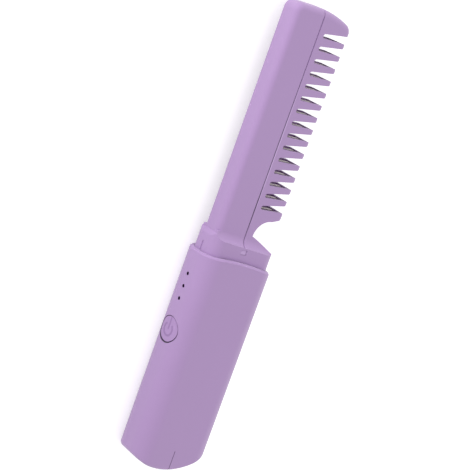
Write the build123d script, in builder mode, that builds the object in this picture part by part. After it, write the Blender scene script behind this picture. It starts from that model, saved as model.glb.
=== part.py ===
from build123d import *
from math import sqrt
import os

# Cordless hair straightening comb, lying on its flat side.
# X runs along the handle: the comb head points to -X and the charging end to +X.
# -Y is the spine with the button and the lights, +Y is the side of the teeth, +Z is up.
# The origin is under the middle of the length, on the surface the handle rests on.

# Handle sleeve
LENGTH = 198.9
HALF_LENGTH = LENGTH / 2
SLEEVE_WIDTH = 37.15
SLEEVE_DEPTH = 19.0
SLEEVE_CORNER = 7.5
SLEEVE_WALL = 1.7
MID = SLEEVE_DEPTH / 2
RIM_SPINE_X = 5.8
RIM_X = 6.3
RIM_COMB_X = 9.55
RIM_CHAMFER = 0.7
END_ARCH_RADIUS = 31.0
END_APEX_Y = -2.0
END_CHAMFER = 0.8
END_WALL = 2.0
NOSE_Y = SLEEVE_WIDTH / 2
NOSE_INNER_Y = NOSE_Y - SLEEVE_WALL

# Head slab, both halves together
HEAD_THICK = 9.6
HEAD_WALL = 1.3
SPINE_Y = -15.35
TIP_Y = 15.7
EDGE_ROUND = 2.6
BACK_CORNER = 3.6
TOP_ARC_START_Y = -4.0
TOP_ARC_END = (-96.3, 13.15)
TOP_TIP = (-93.2, TIP_Y)
SEAM_Y = -0.8
SEAM_CHAMFER = 0.2
SEAM_GAP = 0.25
SEAM_GAP_DEPTH = 1.0

# Comb teeth
TEETH_Y = 14.95
SLOT_COUNT = 15
SLOT_PITCH = 5.177
FIRST_SLOT_X = -89.55
SLOT_ROOT_Y = 2.1
SLOT_ROOT_WIDTH = 1.7
SLOT_MOUTH_WIDTH = 3.1
SLOT_LEAN = 0.65
SLOT_ROOT_EDGE = 0.45
TIP_ROUND = 1.0
POCKET_THICK = 6.8
POCKET_TIP_Y = 12.6
POCKET_FRONT_X = -95.45
POCKET_REAR_X = -14.05

# Finger notch between the guard tooth and the collar
GUARD_TIP_X = -14.45
GUARD_TIP_ROUND = 1.6
GUARD_BOTTOM_X = -11.85
NOTCH_RADIUS = 7.2
NECK_Y = 3.0

# Collar block that carries the head and plugs into the sleeve
COLLAR_WIDTH = 33.3
COLLAR_DEPTH = 14.7
COLLAR_CORNER = 5.1
COLLAR_TOP_X = 0.2
COLLAR_SLANT = 0.115
SKIRT_END_X = 12.55
SKIRT_WALL = 1.5
COLLAR_ROOF = 1.5
SHOULDER_X = -4.65
SPINE_SHOULDER_X = -3.55
SPINE_SHOULDER_RADIUS = 4.0
NECK_MIDDLE = (-1.35, 10.3)
COVE_LENGTH = 3.6
SPINE_GROOVE_WIDTH = 0.8
SPINE_GROOVE_DEPTH = 0.25
SPINE_GROOVE_X = 1.55
LATCH_X = 2.05
LATCH_Y = -0.6
LATCH_WIDTH = 2.9
LATCH_HEIGHT = 2.0
LATCH_RECESS = 0.2
TONGUE_THICK = 1.1
TONGUE_WIDTH = 3.2
TONGUE_END_X = 4.95

# Controls on the spine side of the handle
BUTTON_X = 40.65
BUTTON_OPENING = 11.3
BUTTON_DIAMETER = 10.8
BUTTON_TRAVEL = 0.5
BUTTON_INNER_Y = -16.25
LIGHT_X = 16.25
LIGHT_PITCH = 5.41
LIGHT_COUNT = 3
LIGHT_HOLE = 1.5
LIGHT_PIN = 1.4

# Heater inside the head
PLATE_THICK = 2.4
PLATE_BACK_Y = -8.8
PLATE_EDGE_Y = 1.7
PLATE_FRONT_X = -91.85
PLATE_REAR_X = -14.65
PLATE_TOOTH_Y = 12.0
PLATE_RECESS = 0.3
ELEMENT_SIZE = (64.0, 6.0, 1.2)
ELEMENT_Y = -4.2
MICA_THICK = 0.3
CLIP_THICK = 0.35
CLIP_WIDTH = 5.0
CLIP_XS = (-77.45, -53.45, -27.45)

# Power pack and electronics inside the handle
CELL_RADIUS = 7.0
CELL_LENGTH = 49.0
CELL_FRONT_X = 28.05
CELL_YS = (-4.9, 9.4)
BOARD_Y = -12.1
BOARD_THICK = 1.2
BOARD_HEIGHT = 12.0
BOARD_FRONT_X = 12.85
BOARD_REAR_X = 79.4
SWITCH_SIZE = 6.0
SWITCH_TOP_Y = -15.05
PLUNGER_TOP_Y = -15.75
PLUNGER_RADIUS = 1.6
SOCKET_WIDTH = 8.94
SOCKET_HEIGHT = 3.2
SOCKET_DEPTH = 7.3
SOCKET_WALL = 0.3
SOCKET_MOUTH_X = 98.2
PORT_WIDTH = 9.6
PORT_HEIGHT = 3.8
CHARGE_BOARD_FRONT_X = 82.0
CHARGE_BOARD_REAR_X = 94.4
CHARGE_BOARD_WIDTH = 17.0
CHARGE_BOARD_THICK = 1.0
FRAME_FRONT_X = 7.95
FRAME_PLATE = 1.6
RAIL_WIDTH = 3.0
RAIL_HEIGHT = 1.9
WIRE_RADIUS = 0.6
STRIP_THICK = 0.2
CELL_WINDOW = 5.0
PAD_WIDTH = 3.2
PAD_INSET = 8.0
PACK_LEAD_X = 21.05
BOARD_CHIPS = ((52.0, 7.0, 0.0, 7.0, 1.2), (61.5, 5.0, -2.5, 5.0, 1.0), (61.5, 5.0, 3.3, 4.0, 2.2),
               (69.0, 4.4, 0.0, 6.2, 1.0), (35.0, 2.0, 4.0, 1.25, 0.6), (35.0, 2.0, -4.0, 1.25, 0.6))
PLUNGER_FLOOR_Y = -14.05
PLUNGER_CLEARANCE = 0.2
EAR_START = 4.0
EAR_END = 7.2
EAR_GAP = 0.1
EAR_DROP = 0.5
EAR_WIDTH = 3.0
LED_RISE = 0.7
GUIDE_OUTER_Y = -15.35
GUIDE_THICK = 1.0
GUIDE_MARGIN = 1.8
LIGHT_RECESS = 0.1
CHARGE_LEAD_Y = -7.0
RISER_X = 12.95
ARM_END_X = 94.0
FRAME_WIRE_Y = -10.7

# Screws and bosses that join the frame to both shells
SCREW_RADIUS = 0.95
SCREW_CLEARANCE = 1.1
SCREW_HEAD_RADIUS = 1.9
SCREW_HEAD_HEIGHT = 1.3
SCREW_DRIVE = 2.0
SCREW_TIP_X = 3.35
BOSS_RADIUS = 2.2
SPINE_BOSS_Y = -4.2
COMB_BOSS_Y = 8.5
COMB_BOSS_X = -1.65

# Inside of the head and the collar
SPINE_ROOF_X = -1.45
SPACE_OVERRUN = 3.0
SPACE_CORNER = 2.0
WIRE_WAY_Y = -8.0
BEAD_X = 8.55
BEAD_LENGTH = 1.6
BEAD_WIDTH = 20.0
TONGUE_START_X = -0.45
TONGUE_START_Y = SEAM_Y + 0.3
HOOK_HEIGHT = 1.8
HOOK_WIDTH = 2.6
ELEMENT_REAR_X = -23.45
MICA_EDGE_Y = -1.0
CLIP_BACK_Y = -9.8
CLIP_ARM_Y = -1.6
CARRIER_GRIP = 1.8
CARRIER_BACK_Y = -10.7
CARRIER_EDGE_Y = SEAM_Y - 0.3
SENSOR_X = -42.45
SENSOR_Y = -4.2
SENSOR_RADIUS = 0.8
SENSOR_LENGTH = 3.0
SENSOR_WIRE_RADIUS = 0.45
SENSOR_RUN_Y = -13.0
FUSE_X = -12.45
FUSE_RADIUS = 0.9
FUSE_LENGTH = 8.0
LEAD_START_XS = (-30.95, -35.45)
LEAD_RUN_YS = (-11.55, -13.1)
LEAD_Z = 1.8
LEAD_BEND = 1.5

SKIRT_INNER_WIDTH = COLLAR_WIDTH - 2 * SKIRT_WALL
SKIRT_INNER_DEPTH = COLLAR_DEPTH - 2 * SKIRT_WALL
ROOF_END_X = COLLAR_TOP_X + COLLAR_ROOF
LATCH_INNER = SKIRT_INNER_DEPTH / 2 - 0.1
TONGUE_OUTER = SKIRT_INNER_DEPTH / 2 - 0.1
SENSOR_Z = -PLATE_THICK / 2 - MICA_THICK - SENSOR_RADIUS
CHARGE_BOARD_BOTTOM = -SOCKET_HEIGHT / 2 - CHARGE_BOARD_THICK
CHARGE_LEAD_Z = CHARGE_BOARD_BOTTOM + CHARGE_BOARD_THICK / 2
BOARD_OUTER_Y = BOARD_Y - BOARD_THICK
SLEEVE_INNER_DEPTH = SLEEVE_DEPTH - 2 * SLEEVE_WALL
CELL_REAR_X = CELL_FRONT_X + CELL_LENGTH
SOCKET_REAR_X = SOCKET_MOUTH_X - SOCKET_DEPTH


def across(x):
    """Plane square to the long axis, centred on it: local x is +Y, local y is +Z."""
    return Plane(origin=(x, 0, MID), x_dir=(0, 1, 0), z_dir=(1, 0, 0))


def level(height):
    """Plan plane at a height over the mid plane: local x is +X, local y is +Y."""
    return Plane.XY.offset(MID + height)


def facing_spine(y):
    """Plane square to Y that faces the spine: local x is +X, local y is +Z."""
    return Plane(origin=(0, y, MID), x_dir=(1, 0, 0), z_dir=(0, -1, 0))


def sagitta(radius, half_chord):
    """Height of an arc over its chord."""
    return radius - sqrt(radius**2 - half_chord**2)


def block(x_span, y_span, z_span, round_edges=0.0):
    """Plain block between limits, with z counted from the mid plane."""
    with BuildPart() as piece:
        with BuildSketch(level(z_span[0])):
            with Locations(((x_span[0] + x_span[1]) / 2, (y_span[0] + y_span[1]) / 2)):
                Rectangle(x_span[1] - x_span[0], y_span[1] - y_span[0])
        extrude(amount=z_span[1] - z_span[0])
        if round_edges:
            fillet(piece.edges().filter_by(Axis.Z), round_edges)
    return piece.part


def save(piece, name):
    """Label a finished piece and write it to its own file."""
    piece.part.label = name
    export_step(piece.part, f"parts/{name}.step")


os.makedirs("parts", exist_ok=True)


# Handle sleeve: one flattened tube with an arched rim and an arched closed end
def sleeve_form(inset, end_x, arch_radius, rim):
    """Shape of the sleeve drawn in by inset; rim has the front edge's x at the spine, middle and comb side."""
    half_width = SLEEVE_WIDTH / 2 - inset
    spine_corner_x = end_x - sagitta(arch_radius, half_width + END_APEX_Y)
    comb_corner_x = end_x - sagitta(arch_radius, half_width - END_APEX_Y)
    with BuildPart() as form:
        with BuildSketch(level(-MID)):
            with BuildLine():
                ThreePointArc((rim[0], -half_width), (rim[1], 0), (rim[2], half_width))
                Line((rim[2], half_width), (comb_corner_x, half_width))
                ThreePointArc((comb_corner_x, half_width), (end_x, END_APEX_Y), (spine_corner_x, -half_width))
                Line((spine_corner_x, -half_width), (rim[0], -half_width))
            make_face()
        extrude(amount=SLEEVE_DEPTH)
        with BuildSketch(across(rim[0] - 1)):
            RectangleRounded(2 * half_width, SLEEVE_DEPTH - 2 * inset, SLEEVE_CORNER - inset)
        extrude(amount=LENGTH, mode=Mode.INTERSECT)
        if not inset:
            chamfer(form.faces().sort_by(Axis.X)[-1].edges(), END_CHAMFER)
            chamfer(form.faces().sort_by(Axis.X)[0].edges(), RIM_CHAMFER)
    return form.part


rim_arch = (RIM_SPINE_X, RIM_X, RIM_COMB_X)
sleeve_outside = sleeve_form(0, HALF_LENGTH, END_ARCH_RADIUS, rim_arch)
sleeve_inside = sleeve_form(SLEEVE_WALL, HALF_LENGTH - END_WALL, END_ARCH_RADIUS - END_WALL,
                            [x - END_WALL for x in rim_arch])
light_spots = [(LIGHT_X + i * LIGHT_PITCH, 0) for i in range(LIGHT_COUNT)]

with BuildPart() as sleeve:
    add(sleeve_outside)
    add(sleeve_inside, mode=Mode.SUBTRACT)
    with BuildSketch(facing_spine(-NOSE_INNER_Y + SLEEVE_WALL)):
        with Locations((BUTTON_X, 0)):
            Circle(BUTTON_OPENING / 2)
        with Locations(*light_spots):
            Circle(LIGHT_HOLE / 2)
    extrude(amount=2 * SLEEVE_WALL + 1, mode=Mode.SUBTRACT)
    with BuildSketch(across(HALF_LENGTH - 2 * END_WALL)):
        RectangleRounded(PORT_WIDTH, PORT_HEIGHT, PORT_HEIGHT / 2 - 0.05)
    extrude(amount=3 * END_WALL, mode=Mode.SUBTRACT)
save(sleeve, "sleeve")


# Head and collar: the outer shape that the two shells share
def head_slab():
    """Flat head with soft edges, before the seam and the teeth are cut."""
    with BuildPart() as form:
        with BuildSketch(level(-HEAD_THICK / 2)):
            with BuildLine():
                Line((COLLAR_TOP_X, SPINE_Y), (-HALF_LENGTH + BACK_CORNER, SPINE_Y))
                back = JernArc((-HALF_LENGTH + BACK_CORNER, SPINE_Y), (-1, 0), BACK_CORNER, -90)
                Line(back @ 1, (-HALF_LENGTH, TOP_ARC_START_Y))
                top = TangentArc((-HALF_LENGTH, TOP_ARC_START_Y), TOP_ARC_END, tangent=(0, 1))
                tip = TangentArc(TOP_ARC_END, TOP_TIP, tangent=top % 1)
                Line(tip @ 1, (COLLAR_TOP_X, TIP_Y))
                Line((COLLAR_TOP_X, TIP_Y), (COLLAR_TOP_X, SPINE_Y))
            make_face()
        extrude(amount=HEAD_THICK)
        soft = form.edges().filter_by(lambda e: abs(abs(e.center().Z - MID) - HEAD_THICK / 2) < 0.01)
        fillet(soft.filter_by(lambda e: e.center().X < COLLAR_TOP_X - 1), EDGE_ROUND)
        with BuildSketch(level(-HEAD_THICK)):
            with BuildLine():
                guard = JernArc((GUARD_TIP_X, TEETH_Y), (1, 0), GUARD_TIP_ROUND, -80)
                foot = (GUARD_BOTTOM_X, NECK_Y + NOTCH_RADIUS)
                Line(guard @ 1, foot)
                arc = JernArc(foot, (0, -1), NOTCH_RADIUS, 90)
                Line(arc @ 1, (COLLAR_TOP_X + 1, NECK_Y))
                Line((COLLAR_TOP_X + 1, NECK_Y), (COLLAR_TOP_X + 1, TIP_Y + 1))
                Line((COLLAR_TOP_X + 1, TIP_Y + 1), (GUARD_TIP_X, TIP_Y + 1))
                Line((GUARD_TIP_X, TIP_Y + 1), (GUARD_TIP_X, TEETH_Y))
            make_face()
        extrude(amount=2 * HEAD_THICK, mode=Mode.SUBTRACT)
    return form.part


def collar_top(y):
    """Where the slanting top edge of the collar lies at y."""
    return COLLAR_TOP_X + COLLAR_SLANT * y


def shoulder():
    """Flared step from the head down to the collar block."""
    half = COLLAR_WIDTH / 2
    spine_top, comb_top = (collar_top(-half), -half), (collar_top(half), half)
    with BuildPart() as form:
        with BuildSketch(level(-COLLAR_DEPTH / 2)):
            with BuildLine():
                Line(comb_top, spine_top)
                spine = RadiusArc(spine_top, (SPINE_SHOULDER_X, SPINE_Y), SPINE_SHOULDER_RADIUS)
                Line(spine @ 1, (SHOULDER_X, SPINE_Y))
                Line((SHOULDER_X, SPINE_Y), (SHOULDER_X, NECK_Y))
                ThreePointArc((SHOULDER_X, NECK_Y), NECK_MIDDLE, comb_top)
            make_face()
        extrude(amount=COLLAR_DEPTH)
        with BuildSketch(across(SHOULDER_X - 1)):
            RectangleRounded(COLLAR_WIDTH, COLLAR_DEPTH, COLLAR_CORNER)
        extrude(amount=COLLAR_WIDTH, mode=Mode.INTERSECT)
        with BuildSketch(Plane(origin=(collar_top(-COLLAR_WIDTH), -COLLAR_WIDTH, MID),
                               x_dir=(1, -COLLAR_SLANT, 0), z_dir=(-COLLAR_SLANT, -1, 0))):
            with BuildLine():
                rise = TangentArc((-COVE_LENGTH, HEAD_THICK / 2), (0, COLLAR_DEPTH / 2), tangent=(1, 0))
                Line(rise @ 1, (0, COLLAR_DEPTH))
                Line((0, COLLAR_DEPTH), (-3 * COVE_LENGTH, COLLAR_DEPTH))
                Line((-3 * COVE_LENGTH, COLLAR_DEPTH), (-3 * COVE_LENGTH, HEAD_THICK / 2))
                Line((-3 * COVE_LENGTH, HEAD_THICK / 2), (-COVE_LENGTH, HEAD_THICK / 2))
            make_face()
            mirror(about=Plane.XZ)
        extrude(amount=-2 * COLLAR_WIDTH, mode=Mode.SUBTRACT)
    return form.part


head_outside = head_slab()
shoulder_outside = shoulder()
seam_plane = Plane(origin=(0, SEAM_Y, MID), x_dir=(1, 0, 0), z_dir=(0, -1, 0))
collar_plane = Plane(origin=(COLLAR_TOP_X, 0, MID), x_dir=(COLLAR_SLANT, 1, 0), z_dir=(1, -COLLAR_SLANT, 0))


def on_seam(edge):
    """True for an outer edge that lies in the seam plane above the collar."""
    return abs(edge.center().Y - SEAM_Y) < 0.01 and edge.center().X < COLLAR_TOP_X - 0.3


def on_lip(edge):
    """True for an outer edge of the comb half where it stands a little off the spine half."""
    outermost = abs(edge.center().Z - MID) > HEAD_THICK / 2 - 0.9 * SEAM_GAP_DEPTH
    at_tip = edge.center().X < SEAM_GAP_DEPTH / 2 - HALF_LENGTH
    level_with_gap = abs(edge.center().Y - SEAM_Y - SEAM_GAP) < 0.01
    return level_with_gap and (outermost or at_tip) and edge.center().X < COLLAR_TOP_X - 0.3


# Back half of the head, in one piece with the collar block and its skirt
collar_front_x = collar_top(-COLLAR_WIDTH / 2)
with BuildPart() as skirt:
    with BuildSketch(across(collar_front_x)):
        RectangleRounded(COLLAR_WIDTH, COLLAR_DEPTH, COLLAR_CORNER)
    extrude(amount=SKIRT_END_X - collar_front_x)
    split(bisect_by=collar_plane, keep=Keep.TOP)

with BuildPart() as skirt_space:
    with BuildSketch(across(collar_front_x)):
        RectangleRounded(SKIRT_INNER_WIDTH, SKIRT_INNER_DEPTH, COLLAR_CORNER - SKIRT_WALL)
    extrude(amount=SKIRT_END_X - collar_front_x)
    add(block((collar_front_x, ROOF_END_X), (-COLLAR_WIDTH / 2, SEAM_Y), (-COLLAR_DEPTH / 2, COLLAR_DEPTH / 2)),
        mode=Mode.SUBTRACT)

head_space = block((-HALF_LENGTH + HEAD_WALL, SPINE_ROOF_X), (SPINE_Y + HEAD_WALL, SPACE_OVERRUN),
                   (-HEAD_THICK / 2 + HEAD_WALL, HEAD_THICK / 2 - HEAD_WALL), SPACE_CORNER)
wire_way = block((SPINE_ROOF_X - HEAD_WALL, ROOF_END_X), (SPINE_Y + HEAD_WALL, WIRE_WAY_Y),
                 (-HEAD_THICK / 2 + HEAD_WALL, HEAD_THICK / 2 - HEAD_WALL))

with BuildPart() as spine_shell:
    add(head_outside)
    add(shoulder_outside)
    split(bisect_by=seam_plane, keep=Keep.TOP)
    chamfer(spine_shell.edges().filter_by(on_seam), SEAM_CHAMFER)
    add(skirt.part)
    add(block((BEAD_X, BEAD_X + BEAD_LENGTH), (-BEAD_WIDTH / 2, BEAD_WIDTH / 2),
              (-SLEEVE_INNER_DEPTH / 2, SLEEVE_INNER_DEPTH / 2)))
    add(skirt_space.part, mode=Mode.SUBTRACT)
    add(head_space, mode=Mode.SUBTRACT)
    add(wire_way, mode=Mode.SUBTRACT)
    with BuildSketch(across(SPINE_ROOF_X)):
        with Locations((SPINE_BOSS_Y, 0)):
            Circle(BOSS_RADIUS)
    extrude(amount=FRAME_FRONT_X - SPINE_ROOF_X)
    with BuildSketch(across(SCREW_TIP_X)):
        with Locations((SPINE_BOSS_Y, 0)):
            Circle(SCREW_RADIUS)
    extrude(amount=FRAME_FRONT_X - SCREW_TIP_X, mode=Mode.SUBTRACT)
    add(block((SPINE_GROOVE_X, SKIRT_END_X), (-COLLAR_WIDTH / 2 - 1, SPINE_GROOVE_DEPTH - COLLAR_WIDTH / 2),
              (-SPINE_GROOVE_WIDTH / 2, SPINE_GROOVE_WIDTH / 2)), mode=Mode.SUBTRACT)
    for side in (-1, 1):
        window = sorted((side * LATCH_INNER, side * COLLAR_DEPTH))
        add(block((LATCH_X - LATCH_HEIGHT / 2, LATCH_X + LATCH_HEIGHT / 2),
                  (LATCH_Y - LATCH_WIDTH / 2, LATCH_Y + LATCH_WIDTH / 2), window), mode=Mode.SUBTRACT)
save(spine_shell, "spine_shell")


# Comb half of the head: sixteen teeth, open down the middle for the hot plate
def slot_cutter(first=False):
    """One gap between teeth: it leans towards the tip of the comb and rounds the tooth tips beside it.

    The first gap leaves the big tooth at the tip of the comb unrounded, because that one stands further out.
    """
    root, mouth = SLOT_ROOT_WIDTH / 2, SLOT_MOUTH_WIDTH / 2
    reach = TEETH_Y - SLOT_ROOT_Y
    straight = reach - TIP_ROUND
    with BuildSketch() as gap:
        with BuildLine():
            rear = RadiusArc((mouth - SLOT_LEAN, straight), (mouth - SLOT_LEAN + TIP_ROUND, reach), TIP_ROUND)
            if first:
                front = Line((-mouth - SLOT_LEAN, straight), (-mouth - SLOT_LEAN, reach))
            else:
                front = RadiusArc((-mouth - SLOT_LEAN, straight), (-mouth - SLOT_LEAN - TIP_ROUND, reach), -TIP_ROUND)
            Polyline(rear @ 0, (root, 0), (-root, 0), front @ 0)
            Polyline(rear @ 1, rear @ 1 + (0, 1), front @ 1 + (0, 1), front @ 1)
        make_face()
        chamfer(gap.vertices().group_by(Axis.Y)[0], SLOT_ROOT_EDGE)
    return gap.sketch


with BuildPart() as seam_gap:
    gap_span = (SEAM_Y - 1, SEAM_Y + SEAM_GAP)
    core = HEAD_THICK / 2 - SEAM_GAP_DEPTH
    add(block((-HALF_LENGTH - 1, COLLAR_TOP_X), gap_span, (-COLLAR_DEPTH, COLLAR_DEPTH)))
    add(block((-HALF_LENGTH + SEAM_GAP_DEPTH, COLLAR_TOP_X), gap_span, (-core, core)), mode=Mode.SUBTRACT)

slot_spots = [(FIRST_SLOT_X + i * SLOT_PITCH, SLOT_ROOT_Y) for i in range(SLOT_COUNT)]
with BuildSketch(level(-HEAD_THICK)) as teeth_cut:
    with Locations(slot_spots[0]):
        add(slot_cutter(first=True))
    with Locations(*slot_spots[1:]):
        add(slot_cutter())
    with Locations(((FIRST_SLOT_X + GUARD_BOTTOM_X) / 2, TEETH_Y + 0.5)):
        Rectangle(GUARD_BOTTOM_X - FIRST_SLOT_X, 1)

with BuildPart() as comb_shell:
    add(head_outside)
    add(shoulder_outside)
    split(bisect_by=seam_plane, keep=Keep.BOTTOM)
    add(seam_gap.part, mode=Mode.SUBTRACT)
    chamfer(comb_shell.edges().filter_by(on_lip), SEAM_CHAMFER)
    add(teeth_cut.sketch)
    extrude(amount=2 * HEAD_THICK, mode=Mode.SUBTRACT)
    add(block((POCKET_FRONT_X, POCKET_REAR_X), (SEAM_Y - 1, POCKET_TIP_Y), (-POCKET_THICK / 2, POCKET_THICK / 2)),
        mode=Mode.SUBTRACT)
    with BuildSketch(across(COMB_BOSS_X)):
        with Locations((COMB_BOSS_Y, 0)):
            Circle(BOSS_RADIUS)
    extrude(amount=FRAME_FRONT_X - COMB_BOSS_X)
    with BuildSketch(across(SCREW_TIP_X)):
        with Locations((COMB_BOSS_Y, 0)):
            Circle(SCREW_RADIUS)
    extrude(amount=FRAME_FRONT_X - SCREW_TIP_X, mode=Mode.SUBTRACT)
    for side in (-1, 1):
        tongue = sorted((side * (TONGUE_OUTER - TONGUE_THICK), side * TONGUE_OUTER))
        hook = sorted((side * TONGUE_OUTER, side * (COLLAR_DEPTH / 2 - LATCH_RECESS)))
        add(block((TONGUE_START_X, TONGUE_END_X), (TONGUE_START_Y, TONGUE_START_Y + TONGUE_WIDTH), tongue))
        add(block((LATCH_X - HOOK_HEIGHT / 2, LATCH_X + HOOK_HEIGHT / 2),
                  (LATCH_Y - HOOK_WIDTH / 2, LATCH_Y + HOOK_WIDTH / 2), hook))
save(comb_shell, "comb_shell")


# Hot plate: an aluminium comb whose teeth lie inside the plastic teeth
def plate_tooth():
    """One metal tooth, a little narrower than the plastic tooth around it."""
    reached = (PLATE_TOOTH_Y - SLOT_ROOT_Y) / (TEETH_Y - SLOT_ROOT_Y - TIP_ROUND)
    tip_gap = SLOT_ROOT_WIDTH + reached * (SLOT_MOUTH_WIDTH - SLOT_ROOT_WIDTH)
    lean = reached * SLOT_LEAN
    root = (SLOT_PITCH - SLOT_ROOT_WIDTH) / 2 - PLATE_RECESS
    tip = (SLOT_PITCH - tip_gap) / 2 - PLATE_RECESS
    with BuildSketch() as tooth:
        with BuildLine():
            Polyline((-root, PLATE_EDGE_Y - 0.5), (root, PLATE_EDGE_Y - 0.5), (tip - lean, PLATE_TOOTH_Y),
                     (-tip - lean, PLATE_TOOTH_Y), close=True)
        make_face()
    return tooth.sketch


tooth_face = plate_tooth()
with BuildPart() as heater_comb:
    with BuildSketch(level(-PLATE_THICK / 2)):
        with Locations(((PLATE_FRONT_X + PLATE_REAR_X) / 2, (PLATE_BACK_Y + PLATE_EDGE_Y) / 2)):
            Rectangle(PLATE_REAR_X - PLATE_FRONT_X, PLATE_EDGE_Y - PLATE_BACK_Y)
        with Locations(*[(FIRST_SLOT_X + (i + 0.5) * SLOT_PITCH, 0) for i in range(SLOT_COUNT)]):
            add(tooth_face)
        with Locations(((PLATE_FRONT_X + PLATE_REAR_X) / 2, 0)):
            Rectangle(PLATE_REAR_X - PLATE_FRONT_X, 2 * PLATE_TOOTH_Y, mode=Mode.INTERSECT)
    extrude(amount=PLATE_THICK)
save(heater_comb, "heater_comb")

element_top = PLATE_THICK / 2 + ELEMENT_SIZE[2]
element_front = ELEMENT_REAR_X - ELEMENT_SIZE[0]
with BuildPart() as heater_element:
    add(block((element_front, ELEMENT_REAR_X), (ELEMENT_Y - ELEMENT_SIZE[1] / 2, ELEMENT_Y + ELEMENT_SIZE[1] / 2),
              (PLATE_THICK / 2, element_top)))
save(heater_element, "heater_element")

with BuildPart() as mica_sheets:
    for low in (element_top, -PLATE_THICK / 2 - MICA_THICK):
        add(block((element_front - 1, ELEMENT_REAR_X + 1), (PLATE_BACK_Y + 0.8, MICA_EDGE_Y),
                  (low, low + MICA_THICK)))
save(mica_sheets, "mica_sheets")

clip_top = element_top + MICA_THICK
clip_bottom = -PLATE_THICK / 2 - MICA_THICK
with BuildPart() as heater_clips:
    for x in CLIP_XS:
        add(block((x - CLIP_WIDTH / 2, x + CLIP_WIDTH / 2), (CLIP_BACK_Y, CLIP_ARM_Y),
                  (clip_bottom - CLIP_THICK, clip_top + CLIP_THICK)))
        add(block((x - CLIP_WIDTH, x + CLIP_WIDTH), (CLIP_BACK_Y + CLIP_THICK, CLIP_ARM_Y + 1),
                  (clip_bottom, clip_top)), mode=Mode.SUBTRACT)
save(heater_clips, "heater_clips")

# Heat-proof carriers that hold both ends of the hot plate off the shells
for name, outer_x, end_x in (("front_carrier", PLATE_FRONT_X - CARRIER_GRIP, PLATE_FRONT_X),
                             ("rear_carrier", PLATE_REAR_X + CARRIER_GRIP, PLATE_REAR_X)):
    inner_x = end_x + (end_x - outer_x) * 0.8
    with BuildPart() as carrier:
        add(block(sorted((outer_x, inner_x)), (CARRIER_BACK_Y, CARRIER_EDGE_Y),
                  (-HEAD_THICK / 2 + HEAD_WALL, HEAD_THICK / 2 - HEAD_WALL)))
        add(block(sorted((end_x, inner_x)), (PLATE_BACK_Y, 0), (-PLATE_THICK / 2, PLATE_THICK / 2)),
            mode=Mode.SUBTRACT)
    save(carrier, name)

with BuildPart() as thermistor:
    with BuildSketch(across(SENSOR_X)):
        with Locations((SENSOR_Y, SENSOR_Z)):
            RegularPolygon(SENSOR_RADIUS, 12)
    extrude(amount=SENSOR_LENGTH)
save(thermistor, "thermistor")

with BuildPart() as thermal_fuse:
    with BuildSketch(across(FUSE_X)):
        with Locations((LEAD_RUN_YS[1], LEAD_Z)):
            Circle(FUSE_RADIUS)
    extrude(amount=FUSE_LENGTH)
save(thermal_fuse, "thermal_fuse")


# Wires, each a round lead on straight runs and arcs
def lead(points, radius, bend):
    """Insulated wire through the points, with six flats to keep it light and z counted from the mid plane."""
    with BuildPart() as wire:
        with BuildLine() as route:
            FilletPolyline(*[(x, y, MID + z) for x, y, z in points], radius=bend)
        with BuildSketch(Plane(origin=route.line @ 0, z_dir=route.line % 0)):
            RegularPolygon(radius, 6)
        sweep(path=route.line)
    return wire.part


with BuildPart() as heater_leads:
    for start_x, run_y in zip(LEAD_START_XS, LEAD_RUN_YS):
        add(lead([(start_x, ELEMENT_Y - ELEMENT_SIZE[1] / 2, LEAD_Z), (start_x, run_y, LEAD_Z),
                  (BOARD_FRONT_X, run_y, LEAD_Z)], WIRE_RADIUS, LEAD_BEND))
    add(thermal_fuse.part, mode=Mode.SUBTRACT)
save(heater_leads, "heater_leads")

with BuildPart() as sensor_lead:
    turn_x = SENSOR_X + SENSOR_LENGTH + 2 * LEAD_BEND
    add(lead([(SENSOR_X + SENSOR_LENGTH, SENSOR_Y, SENSOR_Z), (turn_x, SENSOR_Y, SENSOR_Z),
              (turn_x, SENSOR_RUN_Y, SENSOR_Z), (BOARD_FRONT_X, SENSOR_RUN_Y, SENSOR_Z)],
             SENSOR_WIRE_RADIUS, LEAD_BEND))
save(sensor_lead, "sensor_lead")


# Inner frame: bulkheads and rails that carry the cells and both boards
def bulkhead(x, thick, low_y, width, depth, corner):
    """Plate across the handle, cut off at low_y on the spine side."""
    with BuildPart() as plate:
        add(block((x, x + thick), (-width / 2, width / 2), (-depth / 2, depth / 2)))
        chamfer(plate.edges().filter_by(Axis.X), corner)
        add(block((x - 1, x + thick + 1), (-width, low_y), (-depth, depth)), mode=Mode.SUBTRACT)
    return plate.part


inner_width = SLEEVE_WIDTH - 2 * SLEEVE_WALL
inner_corner = SLEEVE_CORNER - SLEEVE_WALL
cell_middle = (CELL_YS[0] + CELL_YS[1]) / 2
front_bulkhead_x = CELL_FRONT_X - STRIP_THICK - FRAME_PLATE
rear_bulkhead_x = CELL_REAR_X + STRIP_THICK
rail_span = (cell_middle - RAIL_WIDTH / 2, cell_middle + RAIL_WIDTH / 2)

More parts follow.
